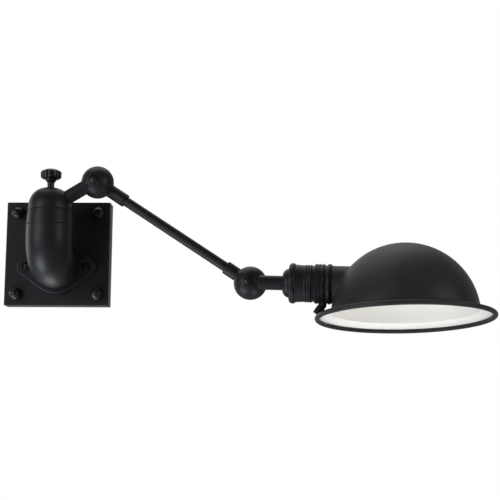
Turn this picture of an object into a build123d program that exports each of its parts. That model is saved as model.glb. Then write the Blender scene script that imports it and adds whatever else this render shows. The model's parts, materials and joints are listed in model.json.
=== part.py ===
from build123d import *
from math import asin, cos, degrees, radians, sin, sqrt
import os

# An articulating wall lamp: a square canopy, a hollow cast elbow with a swivel on top,
# two ball knuckles joined by a straight tube, and a side-necked dome shade on a screw-shell socket.
# Millimetres. The wall is the plane Y = 0, +Z is up and the lamp stands out towards -Y,
# with its arm along +X. The origin is the centre of the canopy's back.

# ---- fits and clearances
running_fit = 0.05          # radial, shaft in hole, between pieces that turn on each other
seat_fit = 0.04             # radial, between pieces of one body that sit in each other
face_gap = 0.12             # axial, between faces that slide on each other
seam = 0.6                  # the small chamfer that draws each seam

# ---- canopy, its backing plate and studs
canopy_width = 114.3
canopy_depth = 18.5
canopy_wall = 2.0
canopy_edge_round = 0.9
plate_thickness = 2.0
plate_margin = 1.0          # between the plate's edge and the canopy's inside
plate_hole_r = 16.0
stud_spacing = 88.9
stud_r = 2.4
stud_nut_grip = 6.0         # length of stud inside each ball nut
stud_hole_clearance = 0.4
slot_spacing = 88.9
slot_width = 5.0
slot_length = 10.0
ball_nut_r = 6.5
ball_nut_rise = 3.0         # ball centre above the canopy's face
ball_nut_collar_r = 5.2

# ---- elbow and its flange
elbow_z = -15.0
elbow_r = 24.3
elbow_wall = 3.6
elbow_bend_r = 26.0
axis_reach = 64.5           # wall to swivel axis
elbow_top_z = 23.0
flange_thickness = 6.5
flange_middle_r = 29.5
flange_ear_r = 10.8
flange_edge_round = 1.6
flange_screw_x = 32.5
flange_screw_r = 2.4
flange_screw_head_r = 4.2
flange_screw_head_height = 2.6
flange_screw_sink = 3.4     # depth of the seat that hides each head
flange_screw_tail = 8.0     # length past the canopy's inside face
flange_nut_flats = 8.0
flange_nut_height = 3.2
driver_slot_width = 1.1
driver_slot_depth = 1.2
screw_tip_chamfer = 0.3
screw_spare = 0.6           # a screw's end past its nut, or a blind hole past its screw

# ---- swivel: collar, post and cap
collar_height = 15.7
collar_top_r = 23.1
collar_swell = 0.15         # how far its side bows out of a straight taper
collar_spigot = 8.0
collar_bore_r = 16.5
collar_web = 8.6
post_r = 9.0
post_bore_r = 5.5
post_top_above_collar = 15.4
post_crown = 4.0
post_nut_flats = 25.0
post_nut_height = 6.0
post_tail = 2.0
groove_above_collar = 6.6
groove_height = 3.4
groove_depth = 1.4
window_height = 4.6
window_above_collar = 0.8
cap_r = 23.0
cap_height = 24.2
cap_flat_r = 5.0
stop_pin_r = 1.5
stop_pin_circle_r = 14.6
stop_pin_depth = 5.0
stop_pin_in_cap = 5.0
stop_clearance = 0.3
swivel_limits = (-1.5, 169.5)
grub_r = 1.9
grub_point_r = 1.3
grub_point_length = 3.2
grub_sink = 0.4             # its outer end below the cap's surface

# ---- thumb screw on the cap
thumb_shank_r = 3.7
thumb_neck_bottom_z = 69.1
thumb_neck_top_z = 73.2
thumb_neck_top_r = 6.6
thumb_head_r = 11.0
thumb_head_height = 11.4
thumb_rim = (0.22, 0.68)    # the lobes' straight part, in shares of the head's height
thumb_under_bow = (1.6, 0.6)
thumb_lobes = 6
thumb_scallop_r = 3.4
thumb_scallop_bite = 1.5

# ---- arm directions, all in the upright plane of the arm
swing_out = 6.0             # the arm plane, turned away from the wall
short_arm_z = 42.0
short_arm_rise = 30.0
short_arm_length = 56.6
knuckle_1_bend = 63.6
long_arm_length = 198.4
knuckle_2_bend = -31.6

# ---- ball knuckles
ball_r = 17.3
ball_wall = 3.6
stub_root_round = 1.8
split_gap = 0.4
stub_offset = 8.0
boss_r = 6.6
knuckle_screw_r = 3.0
knuckle_screw_head_r = 4.5
knuckle_screw_head_height = 3.3
screw_sink = 3.9
nut_sink = 5.6
knuckle_nut_flats = 8.0
knuckle_nut_height = 3.4
spring_washer_height = 1.4
spring_washer_r = 4.4
spring_washer_split = 0.5
recess_clearance = 0.35
friction_washer_height = 1.6
short_stub_r = 7.4
long_stub_r = 7.05
stub_wall = 3.0
short_stub_in_cap = 42.6    # from the ball's centre to the stub's end inside the swivel cap
long_stub_1_length = 32.8
long_stub_2_length = 30.3
socket_stub_length = 34.5
jam_ring_height = 2.0
tube_r = 5.15
tube_wall = 1.7
tube_grip = 10.0
nipple_wall = 1.2
nipple_grip = 7.0

# ---- socket, measured along its axis from the lower knuckle
cap_nose_r = 14.9
cap_nose_length = 7.3
bead_r = 20.7
bead_length = 6.35
bead_crown = 1.6            # how far the bead's face bows out
socket_cap_wall = 2.2
shell_r = 19.1
shell_end_r = 18.6
shell_wall = 0.9
shell_thread_r = 18.2
shell_thread_length = 7.0
shell_visible_end = 65.0
shell_start = 44.8
ridge_pitch = 2.6
ridge_count = 3
ridge_height = 0.55
liner_wall = 0.5
liner_length = 25.0
lamp_body_start = 50.0
lamp_body_thickness = 7.0
lamp_body_r = 16.3
skirt_wall = 1.8
screw_shell_r = 13.2
screw_shell_thread = 0.8
screw_shell_wall = 0.4
screw_shell_turns = 6
screw_shell_pitch = 3.6
contact_r = 4.5
contact_height = 2.4
terminal_x = 8.6
terminal_screw_r = 1.5
terminal_head_r = 2.6
terminal_head_height = 1.4
terminal_post_r = 3.2
holder_start = 67.35
holder_length = 10.9
holder_r = 19.95
holder_grip = 5.2           # length over the shell's thread
holder_ridges = (2.3, 5.2, 9.2)
holder_ridge_r = 0.75
shade_collar_start = 80.25
shade_collar_length = 4.6
shade_collar_r = 20.6
shade_collar_crown = 1.0    # how far the collar's face bows out

# ---- knurled screw that holds the shade's neck
knob_at = 77.0              # along the socket axis, where the screw meets the holder
knob_lean = 32.0
knob_r = 4.35
knob_start = 4.1            # from the holder's surface, along the screw
knob_length = 9.0
knob_tip_gap = 0.3
knob_shank_r = 1.8
knob_boss_r = 4.0
knurl_count = 16
knurl_depth = 0.35

# ---- shade
dome_r = 75.0
shade_wall = 1.0
dome_base_rise = 4.0        # brim's inner edge above the dome's centre
brim_thinning = 0.4         # the brim's underside below its root
bead_circle_r = 88.9
rim_bead_r = 2.1
rim_drop = 1.0              # rim bead's centre below the dome's centre
neck_r = 18.8
neck_wall = 1.1
neck_start = 73.4
neck_root_x = 85.0          # along the socket axis, where the dome's side would meet it
dome_centre_drop = 31.1
shade_cant = 3.2
shade_roll = 3.6

# ---- worked out from the sizes above
centre_low = (Align.CENTER, Align.CENTER, Align.MIN)
dome_centre_x = neck_root_x + dome_r
collar_top_z = elbow_top_z + collar_height
cap_base_z = collar_top_z + face_gap
cap_top_z = cap_base_z + cap_height
post_top_z = collar_top_z + post_top_above_collar
web_bottom_z = collar_top_z - collar_web
elbow_bore_r = elbow_r - elbow_wall
shell_inner_r = shell_thread_r - shell_wall
screw_shell_start = lamp_body_start + lamp_body_thickness
screw_shell_length = screw_shell_turns * screw_shell_pitch

along_x = Rot(0, 90, 0)
along_y = Rot(-90, 0, 0)
half_turn = Rot(0, 180, 0)

swivel_frame = Pos(0, -axis_reach, 0) * Rot(0, 0, -swing_out)
short_arm_frame = swivel_frame * Pos(0, 0, short_arm_z) * Rot(0, -short_arm_rise, 0)
knuckle_1_frame = short_arm_frame * Pos(short_arm_length, stub_offset, 0)
long_arm_frame = knuckle_1_frame * Rot(0, knuckle_1_bend, 0)
knuckle_2_frame = long_arm_frame * Pos(long_arm_length, 0, 0)
socket_frame = knuckle_2_frame * Rot(0, knuckle_2_bend, 0) * Pos(0, -stub_offset, 0)
shade_frame = socket_frame * Rot(-shade_roll, 0, 0)
dome_frame = shade_frame * Pos(dome_centre_x, 0, -dome_centre_drop) * Rot(0, -shade_cant, 0)
knob_frame = socket_frame * Pos(knob_at, 0, -holder_r) * Rot(0, 180 + knob_lean, 0)


def rod(radius, low, high):
    """A plain cylinder about Z between two heights."""
    return Pos(0, 0, low) * Cylinder(radius, high - low, align=centre_low)


def pipe(outer_r, inner_r, low, high):
    """A straight tube about Z between two heights."""
    return rod(outer_r, low, high) - rod(inner_r, low, high)


def hexagon(flats, low, high):
    """A hexagonal bar about Z, given across its flats."""
    outline = RegularPolygon(flats / 2, 6, major_radius=False)
    return Pos(0, 0, low) * extrude(outline, high - low)


def turned(outline):
    """A solid turned about Z from a closed outline of radius and height."""
    return revolve(Plane.XZ * make_face(outline), Axis.Z)


def crown(radius, low, rise):
    """A spherical crown's outline, from its rim to the axis."""
    sphere_r = (radius ** 2 + rise ** 2) / (2 * rise)
    lean = asin(radius / sphere_r) / 2
    middle = (sphere_r * sin(lean), low + rise - sphere_r * (1 - cos(lean)))
    return ThreePointArc((radius, low), middle, (0, low + rise))


def slot_cut(head_r, top, width, depth):
    """The driver slot across a screw's head."""
    return Pos(0, 0, top) * Box(3 * head_r, width, 2 * depth)


def slotted_screw(shank_r, head_r, head_height, length):
    """A slotted cheese-head screw: its head sits on z = 0 and its shank runs to -length."""
    side = 0.7 * head_height
    outline = Polyline(
        (0, -length), (shank_r - screw_tip_chamfer, -length), (shank_r, screw_tip_chamfer - length),
        (shank_r, 0), (head_r, 0), (head_r, side))
    outline += crown(head_r, side, head_height - side)
    outline += Line((0, head_height), (0, -length))
    slot = slot_cut(head_r, head_height, driver_slot_width, driver_slot_depth)
    return turned(outline) - slot


def at_corners(spacing, shape):
    """Copies of a shape at the four corners of a square in the wall plane."""
    half = spacing / 2
    return [Pos(x, 0, z) * shape for x in (-half, half) for z in (-half, half)]


# ---- pieces that stay on the wall

def make_canopy():
    """The square pan: open behind, with holes for the studs, the elbow's screws and the wires."""
    pan = Pos(0, -canopy_depth / 2, 0) * Box(canopy_width, canopy_depth, canopy_width)
    sharp = pan.edges().filter_by(Axis.Y) + pan.faces().sort_by(Axis.Y)[0].edges()
    pan = fillet(sharp, canopy_edge_round)
    inner = canopy_width - 2 * canopy_wall
    inner_depth = canopy_depth - canopy_wall
    pan -= Pos(0, -inner_depth / 2, 0) * Box(inner, inner_depth, inner)
    through = along_y * rod(stud_r + stud_hole_clearance, -canopy_depth, 0)
    for hole in at_corners(stud_spacing, through):
        pan -= hole
    pan -= Pos(0, 0, elbow_z) * along_y * rod(plate_hole_r, -canopy_depth, 0)
    for side in (-1, 1):
        hole = rod(flange_screw_r + seat_fit, -canopy_depth, 0)
        pan -= Pos(side * flange_screw_x, 0, elbow_z) * along_y * hole
    return pan


def make_mounting_plate():
    """The steel plate behind the canopy, slotted for the outlet box's screws."""
    side = canopy_width - 2 * (canopy_wall + plate_margin)
    plate = Pos(0, -plate_thickness / 2, 0) * Box(side, plate_thickness, side)
    plate -= Pos(0, 0, elbow_z) * along_y * rod(plate_hole_r, -plate_thickness, 0)
    slot = extrude(Plane.XZ * SlotOverall(slot_length, slot_width), plate_thickness)
    for edge in (-1, 1):
        plate -= Pos(edge * slot_spacing / 2, 0, 0) * slot
    for hole in at_corners(stud_spacing, along_y * rod(stud_r + seat_fit, -plate_thickness, 0)):
        plate -= hole
    return plate


def make_mounting_studs():
    """Four studs from the plate through the canopy into the ball nuts."""
    stud = along_y * rod(stud_r, -canopy_depth - stud_nut_grip, 0)
    return Compound(children=at_corners(stud_spacing, stud))


def make_canopy_nuts():
    """Four ball nuts that hold the canopy on its studs."""
    ball = Pos(0, 0, ball_nut_rise) * Sphere(ball_nut_r)
    collar = rod(ball_nut_collar_r, 0, ball_nut_rise)
    nut = (ball + collar) & rod(2 * ball_nut_r, 0, 3 * ball_nut_r)
    nut -= rod(stud_r + seat_fit, 0, stud_nut_grip + screw_spare)
    nut = Pos(0, -canopy_depth, 0) * Rot(90, 0, 0) * nut
    return Compound(children=at_corners(stud_spacing, nut))


def make_elbow():
    """The hollow cast elbow with its oval flange, screw seats and blended root."""
    start = (0, -canopy_depth, elbow_z)
    corner = (0, -axis_reach, elbow_z)
    end = (0, -axis_reach, elbow_top_z)
    route = FilletPolyline(start, corner, end, radius=elbow_bend_r)
    mouth = Plane(origin=start, z_dir=(0, -1, 0))
    ears = [Pos(x, 0) * Circle(flange_ear_r) for x in (-flange_screw_x, flange_screw_x)]
    outline = make_hull([Circle(flange_middle_r).edges(), ears[0].edges(), ears[1].edges()])
    flange = Pos(start) * extrude(Plane.XZ * outline, flange_thickness)
    flange = fillet(flange.faces().sort_by(Axis.Y)[0].edges(), flange_edge_round)
    body = flange + sweep(mouth * Circle(elbow_r), path=route)
    body = chamfer(body.faces().sort_by(Axis.Z)[-1].edges(), seam)
    body -= sweep(mouth * Circle(elbow_bore_r), path=route)
    for side in (-1, 1):
        seat = rod(flange_screw_head_r + recess_clearance, flange_thickness - flange_screw_sink, elbow_r)
        hole = rod(flange_screw_r + seat_fit, 0, elbow_r)
        body -= Pos(side * flange_screw_x, -canopy_depth, elbow_z) * Rot(90, 0, 0) * (seat + hole)
    return body


def flange_screw_place(side):
    """Where a flange screw's head sits, with its head towards the viewer."""
    seat_y = canopy_depth + flange_thickness - flange_screw_sink
    return Pos(side * flange_screw_x, -seat_y, elbow_z) * Rot(90, 0, 0)


flange_screw_length = flange_thickness - flange_screw_sink + canopy_wall + flange_screw_tail


def make_flange_screws():
    """Two slotted screws through the flange's ears."""
    screw = slotted_screw(
        flange_screw_r, flange_screw_head_r, flange_screw_head_height, flange_screw_length)
    return Compound(children=[flange_screw_place(side) * screw for side in (-1, 1)])


def make_flange_nuts():
    """Two hexagon nuts behind the canopy's face."""
    low = flange_thickness - flange_screw_sink + canopy_wall
    nut = hexagon(flange_nut_flats, -low - flange_nut_height, -low)
    nut -= rod(flange_screw_r + seat_fit, -low - flange_nut_height, -low)
    return Compound(children=[flange_screw_place(side) * nut for side in (-1, 1)])


def stop_groove():
    """The groove in the collar's face that the stop pin travels in."""
    half_width = stop_pin_r + stop_clearance
    spare = degrees(asin(half_width / stop_pin_circle_r))
    rest = 180 - swing_out
    first = rest - swivel_limits[1] - spare
    last = rest - swivel_limits[0] + spare
    half_depth = stop_pin_depth + screw_spare
    section = Pos(stop_pin_circle_r, collar_top_z) * Rectangle(2 * half_width, 2 * half_depth)
    return Rot(0, 0, first) * revolve(Plane.XZ * section, Axis.Z, last - first)


def make_bearing_collar():
    """The tapered collar on the elbow's top: the swivel cap turns on its upper face."""
    middle_r = (elbow_r + collar_top_r) / 2 + collar_swell
    side_low = (elbow_r, elbow_top_z + seam)
    side_high = (collar_top_r, collar_top_z - seam)
    spigot_r = elbow_bore_r - seat_fit
    outline = Polyline(
        (post_r + seat_fit, web_bottom_z), (collar_bore_r, web_bottom_z),
        (collar_bore_r, elbow_top_z - collar_spigot), (spigot_r, elbow_top_z - collar_spigot),
        (spigot_r, elbow_top_z), (side_low[0] - seam, elbow_top_z), side_low)
    outline += ThreePointArc(side_low, (middle_r, (side_low[1] + side_high[1]) / 2), side_high)
    outline += Polyline(
        side_high, (collar_top_r - seam, collar_top_z), (post_r + seat_fit, collar_top_z),
        (post_r + seat_fit, web_bottom_z))
    collar = turned(outline) - stop_groove()
    return Pos(0, -axis_reach, 0) * collar


def make_pivot_post():
    """The hollow post that the cap turns on, with a groove for the grub and a wire window."""
    low = web_bottom_z - post_nut_height - post_tail
    post = rod(post_r, low, post_top_z) - rod(post_bore_r, low, post_top_z - post_crown)
    groove_z = collar_top_z + groove_above_collar
    post -= pipe(2 * post_r, post_r - groove_depth, groove_z, groove_z + groove_height)
    window_z = collar_top_z + window_above_collar
    window = Pos(0, -post_r, window_z) * Box(2 * post_bore_r, 2 * post_r, window_height, align=centre_low)
    post -= window
    return Pos(0, -axis_reach, 0) * post


def make_post_nut():
    """The nut that clamps the post to the collar's web."""
    low = web_bottom_z - post_nut_height
    nut = hexagon(post_nut_flats, low, web_bottom_z) - rod(post_r + seat_fit, low, web_bottom_z)
    return Pos(0, -axis_reach, 0) * nut


# ---- pieces that swivel

def cap_radius_at(z):
    """The swivel cap's radius at a height."""
    return cap_r * sqrt(1 - ((z - cap_base_z) / cap_height) ** 2)


cap_flat_z = cap_base_z + cap_height * sqrt(1 - (cap_flat_r / cap_r) ** 2)
grub_z = collar_top_z + groove_above_collar + groove_height / 2
grub_tip_r = post_r - groove_depth + running_fit + face_gap
grub_top_r = cap_radius_at(grub_z) - grub_sink
stop_pin_place = Pos(-stop_pin_circle_r, 0, 0)


def make_swivel_cap():
    """The domed cap, with its bore, the short arm's socket and the tapped holes."""
    dome = scale(Sphere(cap_r), by=(1, 1, cap_height / cap_r))
    cap = Pos(0, 0, cap_base_z) * dome & rod(2 * cap_r, cap_base_z, cap_flat_z)
    cap = chamfer(cap.faces().sort_by(Axis.Z)[0].edges(), seam / 2)
    cap -= rod(post_r + running_fit, cap_base_z, post_top_z + face_gap)
    cap -= rod(thumb_shank_r + running_fit, cap_base_z, cap_top_z)
    cap -= stop_pin_place * rod(stop_pin_r + seat_fit, cap_base_z, cap_base_z + stop_pin_in_cap)
    cap -= Pos(0, 0, grub_z) * along_y * rod(grub_r + seat_fit, 0, cap_r)
    arm_line = Pos(0, 0, short_arm_z) * Rot(0, -short_arm_rise, 0) * along_x
    seat_start = short_arm_length - short_stub_in_cap
    cap -= arm_line * rod(short_stub_r + seat_fit, seat_start, cap_r + cap_height)
    cap -= arm_line * rod(short_stub_r - stub_wall, 0, cap_r)
    return swivel_frame * cap


def make_cap_grub():
    """The grub screw that keeps the cap on its post."""
    outline = Polyline(
        (0, grub_tip_r), (grub_point_r, grub_tip_r), (grub_point_r, grub_tip_r + grub_point_length),
        (grub_r, grub_tip_r + grub_point_length + seam), (grub_r, grub_top_r), (0, grub_top_r),
        (0, grub_tip_r))
    grub = turned(outline) - slot_cut(grub_r, grub_top_r, driver_slot_width, driver_slot_depth)
    return swivel_frame * Pos(0, 0, grub_z) * along_y * grub


def make_stop_pin():
    """The pin that stops the swivel at the ends of its groove."""
    low = collar_top_z - stop_pin_depth
    return swivel_frame * stop_pin_place * rod(stop_pin_r, low, cap_base_z + stop_pin_in_cap)


def make_knuckle_half(side, stub_r, stub_length, sink, recess_r):
    """Half a hollow ball with a hollow stub along +X; side is -1 on the viewer's side."""
    face = side * split_gap / 2
    pole = side * ball_r
    stub = Pos(0, side * stub_offset, 0) * along_x * rod(stub_r, 0, stub_length)
    keep = Pos(0, face + side * ball_r, 0) * Box(4 * stub_length, 2 * ball_r, 4 * ball_r)
    whole = Sphere(ball_r) + stub
    whole = fillet(whole.edges().filter_by(GeomType.BSPLINE), stub_root_round)
    half = (whole & keep) - Sphere(ball_r - ball_wall)
    washer_seat = side * friction_washer_height / 2
    boss = along_y * rod(boss_r, min(washer_seat, pole), max(washer_seat, pole)) & Sphere(ball_r)
    half += boss
    half -= along_y * rod(knuckle_screw_r + running_fit, min(0, 2 * pole), max(0, 2 * pole))
    floor = pole - side * sink
    half -= along_y * rod(recess_r, min(floor, 2 * pole), max(floor, 2 * pole))
    bore = rod(stub_r - stub_wall, ball_r - ball_wall - 1.5, stub_length)
    half -= Pos(0, side * stub_offset, 0) * along_x * bore
    return half


def drill_stub(half, side, radius, start, end):
    """Open the end of a knuckle's stub to take a tube or a nipple."""
    return half - Pos(0, side * stub_offset, 0) * along_x * rod(radius, start, end)


head_recess_r = knuckle_screw_head_r + recess_clearance
nut_recess_r = knuckle_nut_flats / sqrt(3) + recess_clearance


def make_front_half(frame, stub_length, nipple_at_end):
    """The half that carries the pivot screw's head, on the viewer's side."""
    half = make_knuckle_half(-1, short_stub_r, stub_length, screw_sink, head_recess_r)
    if nipple_at_end:
        radius = short_stub_r - stub_wall + nipple_wall
        half = drill_stub(half, -1, radius, stub_length - nipple_grip, stub_length)
    return frame * half


def make_rear_half(frame, stub_length):
    """The half that the long tube screws into, on the wall's side."""
    half = make_knuckle_half(1, long_stub_r, stub_length, nut_sink, nut_recess_r)
    half = drill_stub(half, 1, tube_r + seat_fit, stub_length - tube_grip, stub_length)
    return frame * half


def make_knuckle_screw(frame):
    """The slotted pivot screw through a knuckle."""
    head_y = ball_r - screw_sink + face_gap
    tip_y = ball_r - nut_sink + spring_washer_height + knuckle_nut_height + screw_spare
    screw = slotted_screw(
        knuckle_screw_r, knuckle_screw_head_r, knuckle_screw_head_height, head_y + tip_y)
    return frame * Pos(0, -head_y, 0) * Rot(90, 0, 0) * screw


def make_friction_washer(frame):
    """The fibre washer that gives a knuckle its drag."""
    half = friction_washer_height / 2
    washer = pipe(boss_r - split_gap / 2, knuckle_screw_r + seat_fit, face_gap - half, half)
    return frame * along_y * washer


def make_spring_washer(frame):
    """The split spring washer under a knuckle's nut."""
    low = ball_r - nut_sink
    washer = pipe(spring_washer_r, knuckle_screw_r + seat_fit, low, low + spring_washer_height)
    split = Pos(spring_washer_r, 0, low) * Box(2 * spring_washer_r, spring_washer_split, ball_r)
    return frame * along_y * (washer - split)


def make_knuckle_nut(frame):
    """The hexagon nut in a knuckle's rear recess."""
    low = ball_r - nut_sink + spring_washer_height
    nut = hexagon(knuckle_nut_flats, low, low + knuckle_nut_height)
    nut -= rod(knuckle_screw_r + seat_fit, low, low + knuckle_nut_height)
    return frame * along_y * nut


# ---- the long arm

def make_long_tube():
    """The straight tube between the two knuckles."""
    start = long_stub_1_length - tube_grip
    end = long_arm_length - long_stub_2_length + tube_grip
    tube = pipe(tube_r, tube_r - tube_wall, start, end)
    return long_arm_frame * Pos(0, stub_offset, 0) * along_x * tube


def make_jam_rings():
    """Two thin round nuts that lock the tube in the knuckles' stubs."""
    ring = pipe(long_stub_r, tube_r + seat_fit, 0, jam_ring_height)
    ring = chamfer(ring.edges().filter_by(GeomType.CIRCLE).group_by(SortBy.RADIUS)[-1], seam / 2)
    starts = (long_stub_1_length, long_arm_length - long_stub_2_length - jam_ring_height)
    axis = long_arm_frame * Pos(0, stub_offset, 0) * along_x
    return Compound(children=[axis * Pos(0, 0, start) * ring for start in starts])


# ---- the lamp socket

socket_axis = socket_frame * along_x
cap_shoulder = socket_stub_length + cap_nose_length
cap_rim = cap_shoulder + bead_length
cap_cavity_start = cap_shoulder + socket_cap_wall


def make_socket_cap():
    """The turned cap: a domed nose, a rounded bead and a cup that holds the shell."""
    nose = ThreePointArc(
        (short_stub_r, socket_stub_length),
        (short_stub_r + 0.72 * (cap_nose_r - short_stub_r), socket_stub_length + 0.3 * cap_nose_length),
        (cap_nose_r, cap_shoulder))
    bead_middle = (bead_r, (cap_shoulder + cap_rim) / 2)
    bead = ThreePointArc((bead_r - bead_crown, cap_shoulder), bead_middle, (bead_r - bead_crown, cap_rim))
    bore_r = short_stub_r - stub_wall + nipple_wall
    outline = Line((bore_r, socket_stub_length), (short_stub_r, socket_stub_length))
    outline += nose
    outline += Line((cap_nose_r, cap_shoulder), (bead_r - bead_crown, cap_shoulder))
    outline += bead
    outline += Polyline(
        (bead_r - bead_crown, cap_rim), (shell_r + seat_fit, cap_rim), (shell_r + seat_fit, shell_start),
        (shell_inner_r - liner_wall, shell_start), (shell_inner_r - liner_wall, cap_cavity_start),
        (bore_r, cap_cavity_start), (bore_r, socket_stub_length))
    cap = turned(outline)
    for side in (-1, 1):
        post = rod(terminal_post_r, cap_cavity_start, lamp_body_start)
        cap += Pos(0, side * terminal_x, 0) * post
        cap -= Pos(0, side * terminal_x, 0) * rod(
            terminal_screw_r + seat_fit, cap_cavity_start, screw_shell_start)
    return socket_axis * cap


def make_socket_nipple():
    """The threaded nipple that joins the socket's cap to the knuckle's stub."""
    outer = short_stub_r - stub_wall + nipple_wall - seat_fit
    start = socket_stub_length - nipple_grip
    nipple = pipe(outer, short_stub_r - stub_wall, start, cap_cavity_start - screw_spare)
    return socket_axis * nipple


def make_socket_shell():
    """The turned shell with its thread ridges and the reduced end that the holder screws on."""
    ridge_start = shell_visible_end - ridge_count * ridge_pitch
    outline = Polyline(
        (shell_inner_r, shell_start), (shell_r, shell_start), (shell_r, cap_rim + 1),
        (shell_end_r, ridge_start))
    for turn in range(ridge_count):
        low = ridge_start + turn * ridge_pitch
        outline += ThreePointArc(
            (shell_end_r, low), (shell_end_r + ridge_height, low + ridge_pitch / 2),
            (shell_end_r, low + ridge_pitch))
    outline += Polyline(
        (shell_end_r, shell_visible_end), (shell_thread_r, shell_visible_end),
        (shell_thread_r, shell_visible_end + shell_thread_length),
        (shell_inner_r, shell_visible_end + shell_thread_length), (shell_inner_r, shell_start))
    return socket_axis * turned(outline)


def make_insulating_liner():
    """The fibre sleeve between the shell and the live parts."""
    outer = shell_inner_r - seat_fit
    return socket_axis * pipe(outer, outer - liner_wall, shell_start, shell_start + liner_length)


def make_lamp_body():
    """The porcelain base and skirt that carry the screw shell."""
    end = screw_shell_start + screw_shell_length
    body = rod(lamp_body_r, lamp_body_start, end)
    body -= rod(lamp_body_r - skirt_wall, screw_shell_start, end)
    for side in (-1, 1):
        hole = rod(terminal_screw_r + seat_fit, lamp_body_start, end)
        body -= Pos(0, side * terminal_x, 0) * hole
    return socket_axis * body


def make_screw_shell():
    """The brass screw shell, with a rolled thread."""
    crest = screw_shell_r
    root = screw_shell_r - screw_shell_thread
    points = []
    for step in range(2 * screw_shell_turns + 1):
        radius = crest if step % 2 else root
        points.append((radius, screw_shell_start + step * screw_shell_pitch / 2))
    inner = [(radius - screw_shell_wall, height) for radius, height in reversed(points)]
    outline = Polyline(*points, *inner, points[0])
    return socket_axis * turned(outline)


def make_centre_contact():
    """The brass contact at the bottom of the socket."""
    leaf = 0.3 * contact_height
    outline = Polyline((0, 0), (contact_r, 0), (contact_r, leaf), (contact_r / 2, leaf))
    outline += crown(contact_r / 2, leaf, contact_height - leaf)
    outline += Line((0, contact_height), (0, 0))
    return socket_axis * Pos(0, 0, screw_shell_start) * turned(outline)


def make_body_screws():
    """Two screws that hold the porcelain body to the socket's cap."""
    length = screw_shell_start - cap_cavity_start - screw_spare
    screw = slotted_screw(terminal_screw_r, terminal_head_r, terminal_head_height, length)
    places = [Pos(0, side * terminal_x, screw_shell_start) for side in (-1, 1)]
    return Compound(children=[socket_axis * place * screw for place in places])


def make_shade_holder():
    """The ridged ring screwed on the shell, with the boss for the knurled screw."""
    end = holder_start + holder_length
    step = holder_start + holder_grip
    ring = rod(holder_r, holder_start, end)
    ring = chamfer(ring.edges(), seam / 2)
    for place in holder_ridges:
        ring += Pos(0, 0, holder_start + place) * Torus(holder_r - holder_ridge_r / 4, holder_ridge_r)
    boss = knob_frame * rod(knob_boss_r, -knob_boss_r, knob_start - face_gap)
    ring = socket_axis * ring + boss
    ring -= socket_axis * rod(shell_thread_r + seat_fit, 0, step)
    ring -= socket_axis * rod(neck_r + running_fit, step, shade_collar_start + shade_collar_length)
    ring -= socket_axis * rod(3 * bead_r, shade_collar_start - recess_clearance, dome_centre_x)
    return ring - knob_frame * rod(knob_shank_r + running_fit, -holder_r, knob_length)


# ---- screws that are turned by hand

def make_thumb_screw():
    """The lobed screw that locks the swivel."""
    head_top = thumb_neck_top_z + thumb_head_height
    rim_low = thumb_neck_top_z + thumb_rim[0] * thumb_head_height
    rim_high = thumb_neck_top_z + thumb_rim[1] * thumb_head_height
    under = (thumb_head_r - thumb_under_bow[0], thumb_neck_top_z + thumb_under_bow[1])
    outline = Polyline(
        (0, post_top_z + face_gap), (thumb_shank_r, post_top_z + face_gap),
        (thumb_shank_r, thumb_neck_bottom_z), (thumb_neck_top_r, thumb_neck_top_z))
    outline += ThreePointArc(
        (thumb_neck_top_r, thumb_neck_top_z), under, (thumb_head_r, rim_low))
    outline += Line((thumb_head_r, rim_low), (thumb_head_r, rim_high))
    outline += crown(thumb_head_r, rim_high, head_top - rim_high)
    outline += Line((0, head_top), (0, post_top_z + face_gap))
    screw = turned(outline)
    scallop_at = thumb_head_r + thumb_scallop_r - thumb_scallop_bite
    for lobe in range(thumb_lobes):
        turn = Rot(0, 0, (lobe + 0.5) * 360 / thumb_lobes)
        screw -= turn * Pos(scallop_at, 0, 0) * rod(thumb_scallop_r, thumb_neck_top_z - 1, head_top + 1)
    return swivel_frame * screw


def make_shade_screw():
    """The knurled screw that grips the shade's neck."""
    lean = radians(knob_lean)
    tip = (holder_r - neck_r - knob_tip_gap - knob_shank_r * sin(lean)) / cos(lean)
    head_end = knob_start + knob_length
    screw = rod(knob_shank_r, -tip, knob_start + knob_shank_r)
    head = rod(knob_r, knob_start, head_end)
    head = chamfer(head.edges(), seam)
    for groove in range(knurl_count):
        turn = Rot(0, 0, groove * 360 / knurl_count)
        cut = Rot(0, 0, 45) * Box(sqrt(2) * knurl_depth, sqrt(2) * knurl_depth, 3 * knob_length)
        head -= turn * Pos(knob_r, 0, 0) * cut
    return knob_frame * (screw + head)


# ---- the shade

def make_shade():
    """The spun shade: dome, brim, rolled rim and the neck let into its side."""
    base = (sqrt(dome_r ** 2 - dome_base_rise ** 2), dome_base_rise)
    inner_r = dome_r - shade_wall
    inner_base = (sqrt(inner_r ** 2 - dome_base_rise ** 2), dome_base_rise)
    lip = (bead_circle_r, shade_wall / 2 - rim_drop)
    inner_lip = (bead_circle_r, -shade_wall / 2 - rim_drop)
    half = 1 / sqrt(2)
    outline = ThreePointArc((0, dome_r), (dome_r * half, dome_r * half), base)
    brim_root = (inner_base[0], dome_base_rise - brim_thinning)
    outline += Polyline(base, lip, inner_lip, brim_root, inner_base)
    outline += ThreePointArc(inner_base, (inner_r * half, inner_r * half), (0, inner_r))
    outline += Line((0, inner_r), (0, dome_r))
    shade = turned(outline) + Pos(0, 0, -rim_drop) * Torus(bead_circle_r, rim_bead_r)
    shade = dome_frame * shade
    axis = shade_frame * along_x
    inside = dome_frame * Sphere(inner_r)
    neck = axis * rod(neck_r, neck_start, dome_centre_x - dome_r / 2) - inside
    return shade + neck - axis * rod(neck_r - neck_wall, 0, dome_centre_x - dome_r / 2)


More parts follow.
